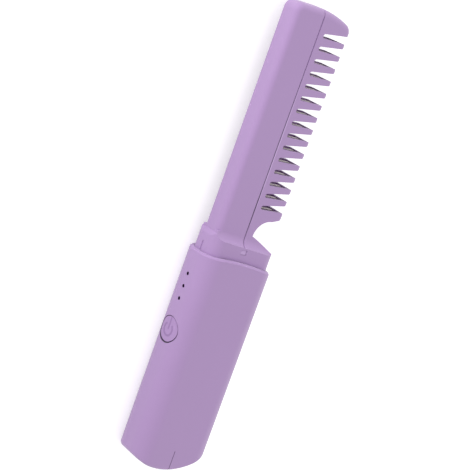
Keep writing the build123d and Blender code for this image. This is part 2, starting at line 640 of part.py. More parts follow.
with BuildPart() as inner_frame:
    add(bulkhead(FRAME_FRONT_X, FRAME_PLATE, FRAME_WIRE_Y, SKIRT_INNER_WIDTH, SKIRT_INNER_DEPTH,
                 COLLAR_CORNER - SKIRT_WALL))
    for x in (front_bulkhead_x, rear_bulkhead_x):
        add(bulkhead(x, FRAME_PLATE, BOARD_Y, inner_width, SLEEVE_INNER_DEPTH, inner_corner))
    for side in (-1, 1):
        step = sorted((side * (SKIRT_INNER_DEPTH / 2 - RAIL_HEIGHT), side * SKIRT_INNER_DEPTH / 2))
        riser = sorted((side * (SKIRT_INNER_DEPTH / 2 - RAIL_HEIGHT), side * SLEEVE_INNER_DEPTH / 2))
        rail = sorted((side * (SLEEVE_INNER_DEPTH / 2 - RAIL_HEIGHT), side * SLEEVE_INNER_DEPTH / 2))
        add(block((FRAME_FRONT_X, RISER_X + FRAME_PLATE), rail_span, step))
        add(block((RISER_X, RISER_X + FRAME_PLATE), rail_span, riser))
        add(block((RISER_X, rear_bulkhead_x), rail_span, rail))
        arm = sorted((side * (CHARGE_BOARD_WIDTH / 2 - FRAME_PLATE), side * CHARGE_BOARD_WIDTH / 2))
        add(block((rear_bulkhead_x, ARM_END_X), arm, (-SLEEVE_INNER_DEPTH / 2, CHARGE_BOARD_BOTTOM)))
    with BuildSketch(across(front_bulkhead_x)):
        with Locations(*[(y, 0) for y in CELL_YS]):
            Rectangle(CELL_WINDOW, CELL_WINDOW)
    extrude(amount=FRAME_PLATE, mode=Mode.SUBTRACT)
    with BuildSketch(across(FRAME_FRONT_X)):
        with Locations((SPINE_BOSS_Y, 0), (COMB_BOSS_Y, 0)):
            Circle(SCREW_CLEARANCE)
    extrude(amount=FRAME_PLATE, mode=Mode.SUBTRACT)
save(inner_frame, "inner_frame")

screw_head_x = FRAME_FRONT_X + FRAME_PLATE
with BuildPart() as frame_screws:
    with BuildSketch(across(SCREW_TIP_X)):
        with Locations((SPINE_BOSS_Y, 0), (COMB_BOSS_Y, 0)):
            Circle(SCREW_RADIUS)
    extrude(amount=screw_head_x - SCREW_TIP_X)
    with BuildSketch(across(screw_head_x)):
        with Locations((SPINE_BOSS_Y, 0), (COMB_BOSS_Y, 0)):
            RegularPolygon(SCREW_HEAD_RADIUS, 6)
            Rectangle(SCREW_DRIVE, SCREW_DRIVE * 0.3, mode=Mode.SUBTRACT)
    extrude(amount=SCREW_HEAD_HEIGHT)
save(frame_screws, "frame_screws")


# Two flat-topped cells in series, the second one turned end for end
for name, y in zip(("spine_side_cell", "comb_side_cell"), CELL_YS):
    with BuildPart() as cell:
        with BuildSketch(across(CELL_FRONT_X)):
            with Locations((y, 0)):
                Circle(CELL_RADIUS)
        extrude(amount=CELL_LENGTH)
    save(cell, name)

with BuildPart() as nickel_strips:
    add(block((CELL_REAR_X, CELL_REAR_X + STRIP_THICK), (CELL_YS[0] - 3, CELL_YS[1] + 3), (-3, 3)))
    add(block((CELL_FRONT_X - STRIP_THICK, CELL_FRONT_X), (BOARD_Y, CELL_YS[0] + 3), (-2.5, 2.5)))
    add(block((CELL_FRONT_X - STRIP_THICK, CELL_FRONT_X), (CELL_YS[1] - 4, CELL_YS[1] + 4), (-2.5, 2.5)))
save(nickel_strips, "nickel_strips")

with BuildPart() as foam_pads:
    for y in CELL_YS:
        for side in (-1, 1):
            span = sorted((side * CELL_RADIUS, side * SLEEVE_INNER_DEPTH / 2))
            add(block((CELL_FRONT_X + PAD_INSET, CELL_REAR_X - PAD_INSET), (y - PAD_WIDTH / 2, y + PAD_WIDTH / 2), span))
save(foam_pads, "foam_pads")

with BuildPart() as pack_lead:
    add(lead([(CELL_FRONT_X - STRIP_THICK, CELL_YS[1], 0), (PACK_LEAD_X, CELL_YS[1], 0),
              (PACK_LEAD_X, BOARD_Y, 0)], WIRE_RADIUS, 2 * LEAD_BEND))
save(pack_lead, "pack_lead")

# Main board on edge behind the nose of the sleeve
with BuildPart() as main_board:
    add(block((BOARD_FRONT_X, BOARD_REAR_X), (BOARD_OUTER_Y, BOARD_Y), (-BOARD_HEIGHT / 2, BOARD_HEIGHT / 2)))
save(main_board, "main_board")

with BuildPart() as board_chips:
    for x, length, z, height, rise in BOARD_CHIPS:
        add(block((x - length / 2, x + length / 2), (BOARD_OUTER_Y - rise, BOARD_OUTER_Y),
                  (z - height / 2, z + height / 2)))
save(board_chips, "board_chips")

with BuildPart() as switch_body:
    add(block((BUTTON_X - SWITCH_SIZE / 2, BUTTON_X + SWITCH_SIZE / 2), (SWITCH_TOP_Y, BOARD_OUTER_Y),
              (-SWITCH_SIZE / 2, SWITCH_SIZE / 2)))
    with BuildSketch(facing_spine(PLUNGER_FLOOR_Y)):
        with Locations((BUTTON_X, 0)):
            Circle(PLUNGER_RADIUS + PLUNGER_CLEARANCE)
    extrude(amount=PLUNGER_FLOOR_Y - SWITCH_TOP_Y, mode=Mode.SUBTRACT)
save(switch_body, "switch_body")

with BuildPart() as switch_plunger:
    with BuildSketch(facing_spine(PLUNGER_FLOOR_Y - BUTTON_TRAVEL - PLUNGER_CLEARANCE)):
        with Locations((BUTTON_X, 0)):
            Circle(PLUNGER_RADIUS)
    extrude(amount=PLUNGER_FLOOR_Y - BUTTON_TRAVEL - PLUNGER_CLEARANCE - PLUNGER_TOP_Y)
save(switch_plunger, "switch_plunger")

# Power button: its face follows the curved nose, two ears hold it in from behind
with BuildPart() as power_button:
    with BuildSketch(facing_spine(BUTTON_INNER_Y)):
        with Locations((BUTTON_X, 0)):
            Circle(BUTTON_DIAMETER / 2)
    extrude(amount=NOSE_Y)
    add(sleeve_outside, mode=Mode.INTERSECT)
    for side in (-1, 1):
        ear = sorted((BUTTON_X + side * EAR_START, BUTTON_X + side * EAR_END))
        add(block(ear, (-NOSE_INNER_Y + EAR_GAP, BUTTON_INNER_Y + EAR_DROP), (-EAR_WIDTH / 2, EAR_WIDTH / 2)))
    with BuildSketch(facing_spine(PLUNGER_TOP_Y)):
        with Locations((BUTTON_X, 0)):
            Circle(PLUNGER_RADIUS)
    extrude(amount=PLUNGER_TOP_Y - BUTTON_INNER_Y)
save(power_button, "power_button")

# Charge lights and the light guide whose pins fill the three holes
with BuildPart() as indicator_leds:
    for x, z in light_spots:
        add(block((x - 0.8, x + 0.8), (BOARD_OUTER_Y - LED_RISE, BOARD_OUTER_Y), (z - 0.5, z + 0.5)))
save(indicator_leds, "indicator_leds")

guide_front = LIGHT_X - GUIDE_MARGIN
guide_rear = LIGHT_X + (LIGHT_COUNT - 1) * LIGHT_PITCH + GUIDE_MARGIN
with BuildPart() as light_guide:
    add(block((guide_front, guide_rear), (GUIDE_OUTER_Y, GUIDE_OUTER_Y + GUIDE_THICK), (-1.2, 1.2)))
    for x in (guide_front, guide_rear - GUIDE_THICK):
        add(block((x, x + GUIDE_THICK), (GUIDE_OUTER_Y, BOARD_OUTER_Y), (-1.2, 1.2)))
    with BuildSketch(facing_spine(GUIDE_OUTER_Y)):
        with Locations(*light_spots):
            RegularPolygon(LIGHT_PIN / 2, 12)
    extrude(amount=GUIDE_OUTER_Y + NOSE_Y - LIGHT_RECESS)
save(light_guide, "light_guide")

# Charging port: a small board on the frame's arms and a socket in the end wall
with BuildPart() as charge_board:
    add(block((CHARGE_BOARD_FRONT_X, CHARGE_BOARD_REAR_X), (-CHARGE_BOARD_WIDTH / 2, CHARGE_BOARD_WIDTH / 2),
              (CHARGE_BOARD_BOTTOM, -SOCKET_HEIGHT / 2)))
save(charge_board, "charge_board")

with BuildPart() as usb_socket:
    with BuildSketch(across(SOCKET_REAR_X)):
        RectangleRounded(SOCKET_WIDTH, SOCKET_HEIGHT, SOCKET_HEIGHT / 2 - 0.05)
    extrude(amount=SOCKET_DEPTH)
    with BuildSketch(across(SOCKET_REAR_X + 1)):
        RectangleRounded(SOCKET_WIDTH - 2 * SOCKET_WALL, SOCKET_HEIGHT - 2 * SOCKET_WALL,
                         SOCKET_HEIGHT / 2 - SOCKET_WALL - 0.05)
    extrude(amount=SOCKET_DEPTH, mode=Mode.SUBTRACT)
save(usb_socket, "usb_socket")

with BuildPart() as usb_tongue:
    add(block((SOCKET_REAR_X + 1, SOCKET_MOUTH_X - 1), (-3.3, 3.3), (-0.35, 0.35)))
save(usb_tongue, "usb_tongue")

with BuildPart() as charge_lead:
    with BuildLine() as charge_route:
        Line((CHARGE_BOARD_FRONT_X - SENSOR_WIRE_RADIUS, CHARGE_LEAD_Y, MID + CHARGE_LEAD_Z),
             (BOARD_REAR_X + SENSOR_WIRE_RADIUS, (BOARD_Y + BOARD_OUTER_Y) / 2, MID + CHARGE_LEAD_Z))
    with BuildSketch(Plane(origin=charge_route.line @ 0, z_dir=charge_route.line % 0)):
        RegularPolygon(SENSOR_WIRE_RADIUS, 6)
    sweep(path=charge_route.line)
save(charge_lead, "charge_lead")
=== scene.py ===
# %% [markdown]
# Cordless hair straightening comb in lilac satin plastic.
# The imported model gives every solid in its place, in metres. It lies on its flat side with the
# head towards -X, the spine with its button towards -Y and the teeth towards +Y.
# This lesson gives each solid its finish, models the small trim that is too fine for the solids,
# and then frames and lights the comb.

# %% Load the fixed model
from math import atan2, radians

import bmesh
import bpy
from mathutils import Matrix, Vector


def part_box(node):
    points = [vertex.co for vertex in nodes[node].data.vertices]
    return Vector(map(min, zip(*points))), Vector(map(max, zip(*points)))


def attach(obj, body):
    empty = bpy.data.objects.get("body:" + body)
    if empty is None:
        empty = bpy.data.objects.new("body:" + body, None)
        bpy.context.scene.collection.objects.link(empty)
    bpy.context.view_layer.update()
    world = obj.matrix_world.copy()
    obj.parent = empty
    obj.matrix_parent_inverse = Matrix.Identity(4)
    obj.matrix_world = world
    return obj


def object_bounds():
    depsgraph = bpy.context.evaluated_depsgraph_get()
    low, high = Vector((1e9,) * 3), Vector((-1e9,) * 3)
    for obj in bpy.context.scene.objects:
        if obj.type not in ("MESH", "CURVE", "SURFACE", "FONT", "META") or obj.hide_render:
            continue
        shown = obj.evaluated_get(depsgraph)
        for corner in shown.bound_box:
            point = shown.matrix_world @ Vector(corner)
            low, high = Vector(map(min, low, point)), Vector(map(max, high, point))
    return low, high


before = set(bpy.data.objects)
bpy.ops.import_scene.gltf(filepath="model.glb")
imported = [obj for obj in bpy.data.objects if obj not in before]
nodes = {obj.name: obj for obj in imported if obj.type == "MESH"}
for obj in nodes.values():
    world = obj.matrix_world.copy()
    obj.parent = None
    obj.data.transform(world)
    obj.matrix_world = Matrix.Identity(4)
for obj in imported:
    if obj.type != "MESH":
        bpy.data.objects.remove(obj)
cad_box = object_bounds()
MIDDLE_Z = (cad_box[0].z + cad_box[1].z) / 2
bpy.ops.object.select_all(action="DESELECT")
print("solids:", len(nodes), "size:", [round(v, 4) for v in cad_box[1] - cad_box[0]])

# %% [markdown]
# The photograph looks down on the comb from the spine side and a little from beyond the head,
# through a long lens. The comb stands nearly upright in the picture and leans to the right.
# The camera comes first, so that every finish and piece can be judged from the same place.

# %% Camera
CAMERA_PLACE = (-0.12475, -0.37554, 0.43636)
CAMERA_TURN = (-26.845, -34.465, 113.711)
CAMERA_LENS = 110.14

bpy.ops.object.camera_add(location=CAMERA_PLACE, rotation=[radians(a) for a in CAMERA_TURN])
camera = bpy.context.object
camera.data.lens = CAMERA_LENS
camera.data.sensor_width = 36.0
camera.data.clip_start = 0.01
bpy.context.scene.camera = camera
camera_distance = (Vector((0, 0, MIDDLE_Z)) - camera.location).length
print("camera to the middle of the comb:", round(camera_distance, 3), "m")

# %% [markdown]
# Five effects come back in many finishes. Moulded parts have a very fine grain, drawn and rolled
# metal has lines along it, foam, mica and filled plastic are built up of small cells, nothing
# keeps one even tone over its whole surface, and narrow gaps get painted shade. Each effect is
# one node group with its own inputs, so that a finish only has to say how much of it there is.

# %% Start a node group
def new_group(title, inputs, outputs):
    """Start a node group from (name, socket type, start value) rows and return its parts."""
    group = bpy.data.node_groups.new(title, "ShaderNodeTree")
    for name, kind, value in inputs:
        socket = group.interface.new_socket(name, in_out="INPUT", socket_type=kind)
        if value is not None:
            socket.default_value = value
    for name, kind in outputs:
        group.interface.new_socket(name, in_out="OUTPUT", socket_type=kind)
    return group, group.nodes.new("NodeGroupInput"), group.nodes.new("NodeGroupOutput")


# %% Grain of a moulded surface
grain, grain_in, grain_out = new_group(
    "moulded_grain",
    [("Vector", "NodeSocketVector", None), ("Scale", "NodeSocketFloat", 2600.0)],
    [("Height", "NodeSocketFloat")],
)
pores = grain.nodes.new("ShaderNodeTexNoise")
pores.inputs["Detail"].default_value = 3.0
pores.inputs["Roughness"].default_value = 0.6
grain.links.new(grain_in.outputs["Vector"], pores.inputs["Vector"])
grain.links.new(grain_in.outputs["Scale"], pores.inputs["Scale"])
grain.links.new(pores.outputs["Fac"], grain_out.inputs["Height"])
print("group:", grain.name)

# %% Lines along drawn and rolled metal
LINES_PER_METRE = (120.0, 6000.0, 6000.0)

drawn, drawn_in, drawn_out = new_group(
    "drawn_lines",
    [("Vector", "NodeSocketVector", None), ("Scale", "NodeSocketFloat", 1.0)],
    [("Height", "NodeSocketFloat")],
)
squeezed = drawn.nodes.new("ShaderNodeVectorMath")
squeezed.operation = "MULTIPLY"
squeezed.inputs[1].default_value = LINES_PER_METRE
scratches = drawn.nodes.new("ShaderNodeTexNoise")
scratches.inputs["Detail"].default_value = 2.0
drawn.links.new(drawn_in.outputs["Vector"], squeezed.inputs[0])
drawn.links.new(squeezed.outputs["Vector"], scratches.inputs["Vector"])
drawn.links.new(drawn_in.outputs["Scale"], scratches.inputs["Scale"])
drawn.links.new(scratches.outputs["Fac"], drawn_out.inputs["Height"])
print("group:", drawn.name)

# %% Small cells of foam, mica flakes and filled plastic
cells, cells_in, cells_out = new_group(
    "small_cells",
    [("Vector", "NodeSocketVector", None), ("Scale", "NodeSocketFloat", 1500.0)],
    [("Height", "NodeSocketFloat"), ("Mask", "NodeSocketFloat")],
)
flakes = cells.nodes.new("ShaderNodeTexVoronoi")
cells.links.new(cells_in.outputs["Vector"], flakes.inputs["Vector"])
cells.links.new(cells_in.outputs["Scale"], flakes.inputs["Scale"])
one_flake = cells.nodes.new("ShaderNodeSeparateColor")
cells.links.new(flakes.outputs["Color"], one_flake.inputs["Color"])
cells.links.new(flakes.outputs["Distance"], cells_out.inputs["Height"])
cells.links.new(one_flake.outputs["Red"], cells_out.inputs["Mask"])
print("group:", cells.name)

# %% Slow drift of tone, and of gloss where hands have rubbed
drift, drift_in, drift_out = new_group(
    "tone_drift",
    [("Vector", "NodeSocketVector", None), ("Color", "NodeSocketColor", (0.5, 0.5, 0.5, 1)),
     ("Amount", "NodeSocketFloat", 0.04), ("Gloss", "NodeSocketFloat", 0.4),
     ("Rub", "NodeSocketFloat", 0.06), ("Scale", "NodeSocketFloat", 40.0)],
    [("Color", "NodeSocketColor"), ("Roughness", "NodeSocketFloat")],
)
cloud = drift.nodes.new("ShaderNodeTexNoise")
cloud.inputs["Detail"].default_value = 4.0
drift.links.new(drift_in.outputs["Vector"], cloud.inputs["Vector"])
drift.links.new(drift_in.outputs["Scale"], cloud.inputs["Scale"])
centred = drift.nodes.new("ShaderNodeMath")
centred.operation = "SUBTRACT"
centred.inputs[1].default_value = 0.5
drift.links.new(cloud.outputs["Fac"], centred.inputs[0])
shade = drift.nodes.new("ShaderNodeMath")
shade.operation = "MULTIPLY_ADD"
shade.inputs[2].default_value = 1.0
drift.links.new(centred.outputs["Value"], shade.inputs[0])
drift.links.new(drift_in.outputs["Amount"], shade.inputs[1])
tinted = drift.nodes.new("ShaderNodeVectorMath")
tinted.operation = "SCALE"
drift.links.new(drift_in.outputs["Color"], tinted.inputs[0])
drift.links.new(shade.outputs["Value"], tinted.inputs["Scale"])
drift.links.new(tinted.outputs["Vector"], drift_out.inputs["Color"])
rubbed = drift.nodes.new("ShaderNodeMath")
rubbed.operation = "MULTIPLY_ADD"
drift.links.new(centred.outputs["Value"], rubbed.inputs[0])
drift.links.new(drift_in.outputs["Rub"], rubbed.inputs[1])
drift.links.new(drift_in.outputs["Gloss"], rubbed.inputs[2])
drift.links.new(rubbed.outputs["Value"], drift_out.inputs["Roughness"])
print("group:", drift.name)

# %% Mask for painted shade in a narrow gap and painted highlights
gap, gap_in, gap_out = new_group(
    "gap_shade",
    [("Vector", "NodeSocketVector", None), ("Place", "NodeSocketVector", (0, 0, 0)),
     ("Across", "NodeSocketVector", (1, 1, 1)), ("Dark", "NodeSocketFloat", 0.0),
     ("Clear", "NodeSocketFloat", 0.001)],
    [("Mask", "NodeSocketFloat")],
)
from_place = gap.nodes.new("ShaderNodeVectorMath")
from_place.operation = "SUBTRACT"
across = gap.nodes.new("ShaderNodeVectorMath")
across.operation = "MULTIPLY"
distance = gap.nodes.new("ShaderNodeVectorMath")
distance.operation = "LENGTH"
fade = gap.nodes.new("ShaderNodeMapRange")
fade.interpolation_type = "SMOOTHSTEP"
fade.inputs["To Min"].default_value = 1.0
fade.inputs["To Max"].default_value = 0.0
gap.links.new(gap_in.outputs["Vector"], from_place.inputs[0])
gap.links.new(gap_in.outputs["Place"], from_place.inputs[1])
gap.links.new(from_place.outputs["Vector"], across.inputs[0])
gap.links.new(gap_in.outputs["Across"], across.inputs[1])
gap.links.new(across.outputs["Vector"], distance.inputs[0])
gap.links.new(distance.outputs["Value"], fade.inputs["Value"])
gap.links.new(gap_in.outputs["Dark"], fade.inputs["From Min"])
gap.links.new(gap_in.outputs["Clear"], fade.inputs["From Max"])
gap.links.new(fade.outputs["Result"], gap_out.inputs["Mask"])
print("group:", gap.name)

# %% [markdown]
# Every finish is one Principled shader. What changes over the surface reaches it through the
# groups: the drift gives colour and roughness, and one of the surface groups gives the relief.
# What is the same all over is set on the shader itself. The grain could be a picture, but noise
# in object coordinates needs no unwrapping and has no joins.

# %% One helper that makes a finish
def finish(title, colour, roughness, metallic=0.0, surface=grain, surface_scale=2600.0,
           depth=0.00002, drift_amount=0.04, rub=0.06, drift_scale=40.0, shine=0.5, coat=0.0,
           sheen=0.0, transmission=0.0):
    """Make a material: base colour in linear light, roughness, a surface relief and drift."""
    material = bpy.data.materials.new(title)
    material.use_nodes = True
    tree = material.node_tree
    shader = tree.nodes["Principled BSDF"]
    place = tree.nodes.new("ShaderNodeTexCoord")
    tone = tree.nodes.new("ShaderNodeGroup")
    tone.name = "tone"
    tone.node_tree = drift
    tone.inputs["Color"].default_value = (*colour, 1)
    tone.inputs["Amount"].default_value = drift_amount
    tone.inputs["Gloss"].default_value = roughness
    tone.inputs["Rub"].default_value = rub
    tone.inputs["Scale"].default_value = drift_scale
    tree.links.new(place.outputs["Object"], tone.inputs["Vector"])
    tree.links.new(tone.outputs["Color"], shader.inputs["Base Color"])
    tree.links.new(tone.outputs["Roughness"], shader.inputs["Roughness"])
    skin = tree.nodes.new("ShaderNodeGroup")
    skin.name = "skin"
    skin.node_tree = surface
    skin.inputs["Scale"].default_value = surface_scale
    bump = tree.nodes.new("ShaderNodeBump")
    bump.inputs["Distance"].default_value = depth
    tree.links.new(place.outputs["Object"], skin.inputs["Vector"])
    tree.links.new(skin.outputs["Height"], bump.inputs["Height"])
    tree.links.new(bump.outputs["Normal"], shader.inputs["Normal"])
    shader.inputs["Metallic"].default_value = metallic
    shader.inputs["Specular IOR Level"].default_value = shine
    shader.inputs["Coat Weight"].default_value = coat
    shader.inputs["Sheen Weight"].default_value = sheen
    shader.inputs["Transmission Weight"].default_value = transmission
    return material


def metal(title, colour, roughness, metallic=1.0, depth=0.00001, drift_amount=0.12, rub=0.12,
          drift_scale=260.0):
    """Make a bare or thinly coated metal with its rolling lines."""
    return finish(title, colour, roughness, metallic=metallic, surface=drawn, surface_scale=1.0,
                  depth=depth, drift_amount=drift_amount, rub=rub, drift_scale=drift_scale)


def paint(material, *names):
    """Put a material on the solids of those names."""
    for name in names:
        data = nodes[name].data
        data.materials.clear()
        data.materials.append(material)
    print("finish:", material.name, "on", ", ".join(names))


# %% [markdown]
# Some finishes have a second colour in places: flakes in the mica, copper tracks under the solder
# mask of the boards, and painted shade and painted highlights at the seam, latch mark and button of
# the housing. A picture could hold such places, but a mask from the position alone stays sharp and
# needs no file. One helper mixes a colour in by a mask and keeps what the finish has so far. A
# second one makes the mask from the distance to a place. Its factors for x, y and z stretch the
# spot: a small factor makes it long that way, and 0 makes it endless.

# %% Lay a second colour over a finish
def lay_over(material, mask, colour, amount):
    """Mix a second colour into what a finish has so far, as far as the mask says."""
    tree = material.node_tree
    base = tree.nodes["Principled BSDF"].inputs["Base Color"]
    mix = tree.nodes.new("ShaderNodeMix")
    mix.data_type = "RGBA"
    strength = tree.nodes.new("ShaderNodeMath")
    strength.operation = "MULTIPLY"
    strength.inputs[1].default_value = amount
    tree.links.new(mask, strength.inputs[0])
    tree.links.new(strength.outputs["Value"], mix.inputs["Factor"])
    tree.links.new(base.links[0].from_socket, mix.inputs["A"])
    mix.inputs["B"].default_value = (*colour, 1)
    tree.links.new(mix.outputs["Result"], base)


def paint_light_near(material, place, across, dark, clear, colour, amount):
    """Paint shade and highlights near a place: fully at the distance dark, not at all at clear, in
    metres.
    """
    tree = material.node_tree
    where = tree.nodes.new("ShaderNodeTexCoord")
    shaded = tree.nodes.new("ShaderNodeGroup")
    shaded.node_tree = gap
    for name, value in (("Place", place), ("Across", across), ("Dark", dark), ("Clear", clear)):
        shaded.inputs[name].default_value = value
    tree.links.new(where.outputs["Object"], shaded.inputs["Vector"])
    lay_over(material, shaded.outputs["Mask"], colour, amount)


# %% [markdown]
# The shells, the sleeve and the button are moulded from one batch of lilac plastic with a fine
# spark-eroded satin. The button is touched all the time, so it is a little glossier. Painted shade
# darkens the seam between the two shells, most near the handle. The ring round the button is dark
# on one side only, so the painted shade on the button and that on the sleeve are circles whose
# middles are moved apart. The lip of the seam and the latch mark on the collar get a painted highlight.

# %% Lilac satin plastic
LILAC = (0.427, 0.275, 0.530)
PAINTED_SHADE = (0.035, 0.015, 0.055)
PAINTED_HIGHLIGHT = (0.64, 0.46, 0.77)
SATIN = 0.64

sleeve_plastic = finish("lilac_sleeve_plastic", LILAC, SATIN, shine=0.4, sheen=0.35)
shell_plastic = finish("lilac_shell_plastic", LILAC, SATIN, shine=0.4, sheen=0.35)
button_plastic = finish("lilac_button_plastic", LILAC, 0.46, drift_scale=160.0, shine=0.3)
paint(sleeve_plastic, "sleeve")
paint(shell_plastic, "spine_shell", "comb_shell")
paint(button_plastic, "power_button")

# %% Painted shade in the seam, painted highlights on its lip and on the latch mark
SEAM_Y = -0.0008
SEAM_MIDDLE = Vector((-0.042, SEAM_Y, MIDDLE_Z))
SEAM_FACTORS = (0.0075, 1, 0)
LIP_SHIFT = Vector((0, 0.0005, 0))
NECK_MIDDLE = (-0.0165, SEAM_Y, MIDDLE_Z)
NECK_FACTORS = (0.022, 1, 0)
LATCH_MIDDLE = (0.00205, -0.0006, MIDDLE_Z)
LATCH_FACTORS = (1.2, 0.65, 0)

# Painted shade along the seam.
paint_light_near(shell_plastic, SEAM_MIDDLE, SEAM_FACTORS, 0.00022, 0.0003, PAINTED_SHADE, 0.65)
# Painted highlight on the lip of the seam.
paint_light_near(shell_plastic, SEAM_MIDDLE + LIP_SHIFT, SEAM_FACTORS, 0.0001, 0.0003, PAINTED_HIGHLIGHT, 0.8)
# More painted shade in the seam near the neck.
paint_light_near(shell_plastic, NECK_MIDDLE, NECK_FACTORS, 0.0002, 0.0004, PAINTED_SHADE, 0.75)
# Painted highlight on the latch mark of the collar.
paint_light_near(shell_plastic, LATCH_MIDDLE, LATCH_FACTORS, 0.0008, 0.0013, PAINTED_HIGHLIGHT, 0.55)
print("second colours on", shell_plastic.name)

# %% Painted shade round the button
BUTTON_MIDDLE = Vector((0.04065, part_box("sleeve")[0].y, MIDDLE_Z))
BUTTON_FACTORS = (1, 0.2, 1)
OPENING_SHIFT = Vector((0.00015, 0, -0.00015))
RIM_SHIFT = Vector((-0.0002, 0, 0.0002))
RING_AMOUNT = 0.95

# Painted shade in the ring round the button, on the sleeve's opening and on the button's rim.
paint_light_near(sleeve_plastic, BUTTON_MIDDLE + OPENING_SHIFT, BUTTON_FACTORS, 0.00558, 0.00568,
          PAINTED_SHADE, RING_AMOUNT)
paint_light_near(button_plastic, BUTTON_MIDDLE + RIM_SHIFT, BUTTON_FACTORS, 0.00532, 0.00512,
          PAINTED_SHADE, RING_AMOUNT)
print("second colours on", sleeve_plastic.name, "and", button_plastic.name)

# %% [markdown]
# The hot comb shows in the gaps between the teeth. It is stamped aluminium under a thin warm
# ceramic glaze, so it is a dull metal with the rolling lines still in it. All metals here share
# one short helper, which gives a finish the drawn lines instead of the moulded grain.

# %% Hot comb
hot_plate = metal("glazed_aluminium", (0.38, 0.31, 0.31), 0.36, metallic=0.75,
                  drift_amount=0.16, rub=0.14, drift_scale=220.0)
paint(hot_plate, "heater_comb")

# %% [markdown]
# The parts inside don't show on the closed comb, but the exported model can be opened up. Mica
# splits into bright flakes, and filled plastic has short glass fibres near its surface, so both
# get the small cells twice: as relief, and as the mask of a paler colour.

# %% Parts that stand the heat
MICA_FLAKE = (0.66, 0.58, 0.4)
GLASS_FLECK = (0.07, 0.06, 0.05)

ceramic = finish("white_ceramic", (0.74, 0.71, 0.66), 0.55, surface_scale=4200.0)
mica = finish("mica_sheet", (0.48, 0.40, 0.24), 0.3, metallic=0.25, surface=cells,
              surface_scale=900.0, depth=0.00003)
lay_over(mica, mica.node_tree.nodes["skin"].outputs["Mask"], MICA_FLAKE, 0.6)
filled_plastic = finish("glass_filled_plastic", (0.026, 0.020, 0.017), 0.5, surface=cells,
                        surface_scale=2400.0)
lay_over(filled_plastic, filled_plastic.node_tree.nodes["skin"].outputs["Mask"], GLASS_FLECK, 0.5)
paint(ceramic, "heater_element", "thermal_fuse")
paint(mica, "mica_sheets")
paint(filled_plastic, "front_carrier", "rear_carrier")

# %% Steel and nickel
spring_steel = metal("spring_steel", (0.42, 0.42, 0.42), 0.34, drift_amount=0.1)
nickel = metal("nickel_strip", (0.55, 0.53, 0.48), 0.3)
paint(spring_steel, "heater_clips", "frame_screws", "usb_socket")
paint(nickel, "nickel_strips")

# %% Cells, foam and the inner frame
cell_sleeve = finish("shrunk_blue_sleeve", (0.035, 0.13, 0.35), 0.3, surface_scale=500.0,
                     depth=0.00005, coat=0.35)
foam = finish("dark_foam", (0.016, 0.016, 0.018), 0.85, surface=cells, surface_scale=1900.0,
              depth=0.00025, sheen=0.2)
frame_plastic = finish("natural_white_plastic", (0.66, 0.65, 0.61), 0.45)
paint(cell_sleeve, "spine_side_cell", "comb_side_cell")
paint(foam, "foam_pads")
paint(frame_plastic, "inner_frame")

# %% [markdown]
# Copper tracks show through the solder mask as paler green lines. The mortar of a brick texture
# draws such lines, and a Mapping node turns them flat onto the main board, which stands on edge.

# %% Boards with their tracks
COPPER_UNDER_MASK = (0.03, 0.2, 0.07)

board = finish("green_solder_mask", (0.008, 0.075, 0.032), 0.28, surface_scale=3500.0, coat=0.3)
board_tree = board.node_tree
tracks = board_tree.nodes.new("ShaderNodeTexBrick")
tracks.inputs["Scale"].default_value = 160.0
tracks.inputs["Mortar Size"].default_value = 0.05
board_place = board_tree.nodes.new("ShaderNodeTexCoord")
track_turn = board_tree.nodes.new("ShaderNodeMapping")
track_turn.inputs["Rotation"].default_value = (radians(90), 0, 0)
board_tree.links.new(board_place.outputs["Object"], track_turn.inputs["Vector"])
board_tree.links.new(track_turn.outputs["Vector"], tracks.inputs["Vector"])
lay_over(board, tracks.outputs["Fac"], COPPER_UNDER_MASK, 0.8)
paint(board, "main_board", "charge_board")

# %% Electronics, wires and the clear parts
chip_black = finish("moulded_chip_black", (0.012, 0.012, 0.013), 0.42, surface_scale=3600.0)
pale_resin = finish("pale_resin", (0.78, 0.72, 0.45), 0.22, drift_scale=400.0, coat=0.4)
wire_red = finish("red_wire_cover", (0.42, 0.012, 0.01), 0.45, surface_scale=1800.0, sheen=0.1)
wire_black = finish("black_wire_cover", (0.012, 0.012, 0.012), 0.48, surface_scale=1800.0, sheen=0.1)
smoked_clear = finish("smoked_clear_plastic", (0.16, 0.13, 0.2), 0.12, depth=0.000004, transmission=0.7)
paint(chip_black, "switch_body", "switch_plunger", "board_chips", "usb_tongue")
paint(pale_resin, "thermistor", "indicator_leds")
paint(wire_red, "heater_leads", "pack_lead", "charge_lead")
paint(wire_black, "sensor_lead")
paint(smoked_clear, "light_guide")
trees = {name: node.data.materials[0].node_tree for name, node in nodes.items()}
print("solids without a finish:", [name for name, tree in trees.items() if "tone" not in tree.nodes])

# %% [markdown]
# Small trim is modelled as by hand: a primitive is added at its size and place, and edit mode
# shapes it. These helpers do what is the same each time: open a new primitive, pick what lies in
# one place, copy a piece to the underside, and hand the finished piece over to the body that it
# rides on.

# %% Helpers for shaping by hand
FACING_SPINE = (radians(90), 0, 0)


def start_shaping(title):
    """Name the primitive that was just added, and open it in edit mode with all of it selected."""
    piece = bpy.context.object
    piece.name = title
    bpy.ops.object.mode_set(mode="EDIT")
    bpy.ops.mesh.select_all(action="SELECT")
    return piece


def pick(piece, kind, test):
    """Select only the verts, edges or faces whose middle passes the test, and return how many."""
    bpy.ops.mesh.select_mode(type={"verts": "VERT", "edges": "EDGE", "faces": "FACE"}[kind])
    bpy.ops.mesh.select_all(action="DESELECT")
    mesh = bmesh.from_edit_mesh(piece.data)
    chosen = 0
    for part in getattr(mesh, kind):
        corners = [part] if kind == "verts" else part.verts
        if test(sum((corner.co for corner in corners), Vector()) / len(corners)):
            part.select_set(True)
            chosen += 1
    bmesh.update_edit_mesh(piece.data)
    return chosen


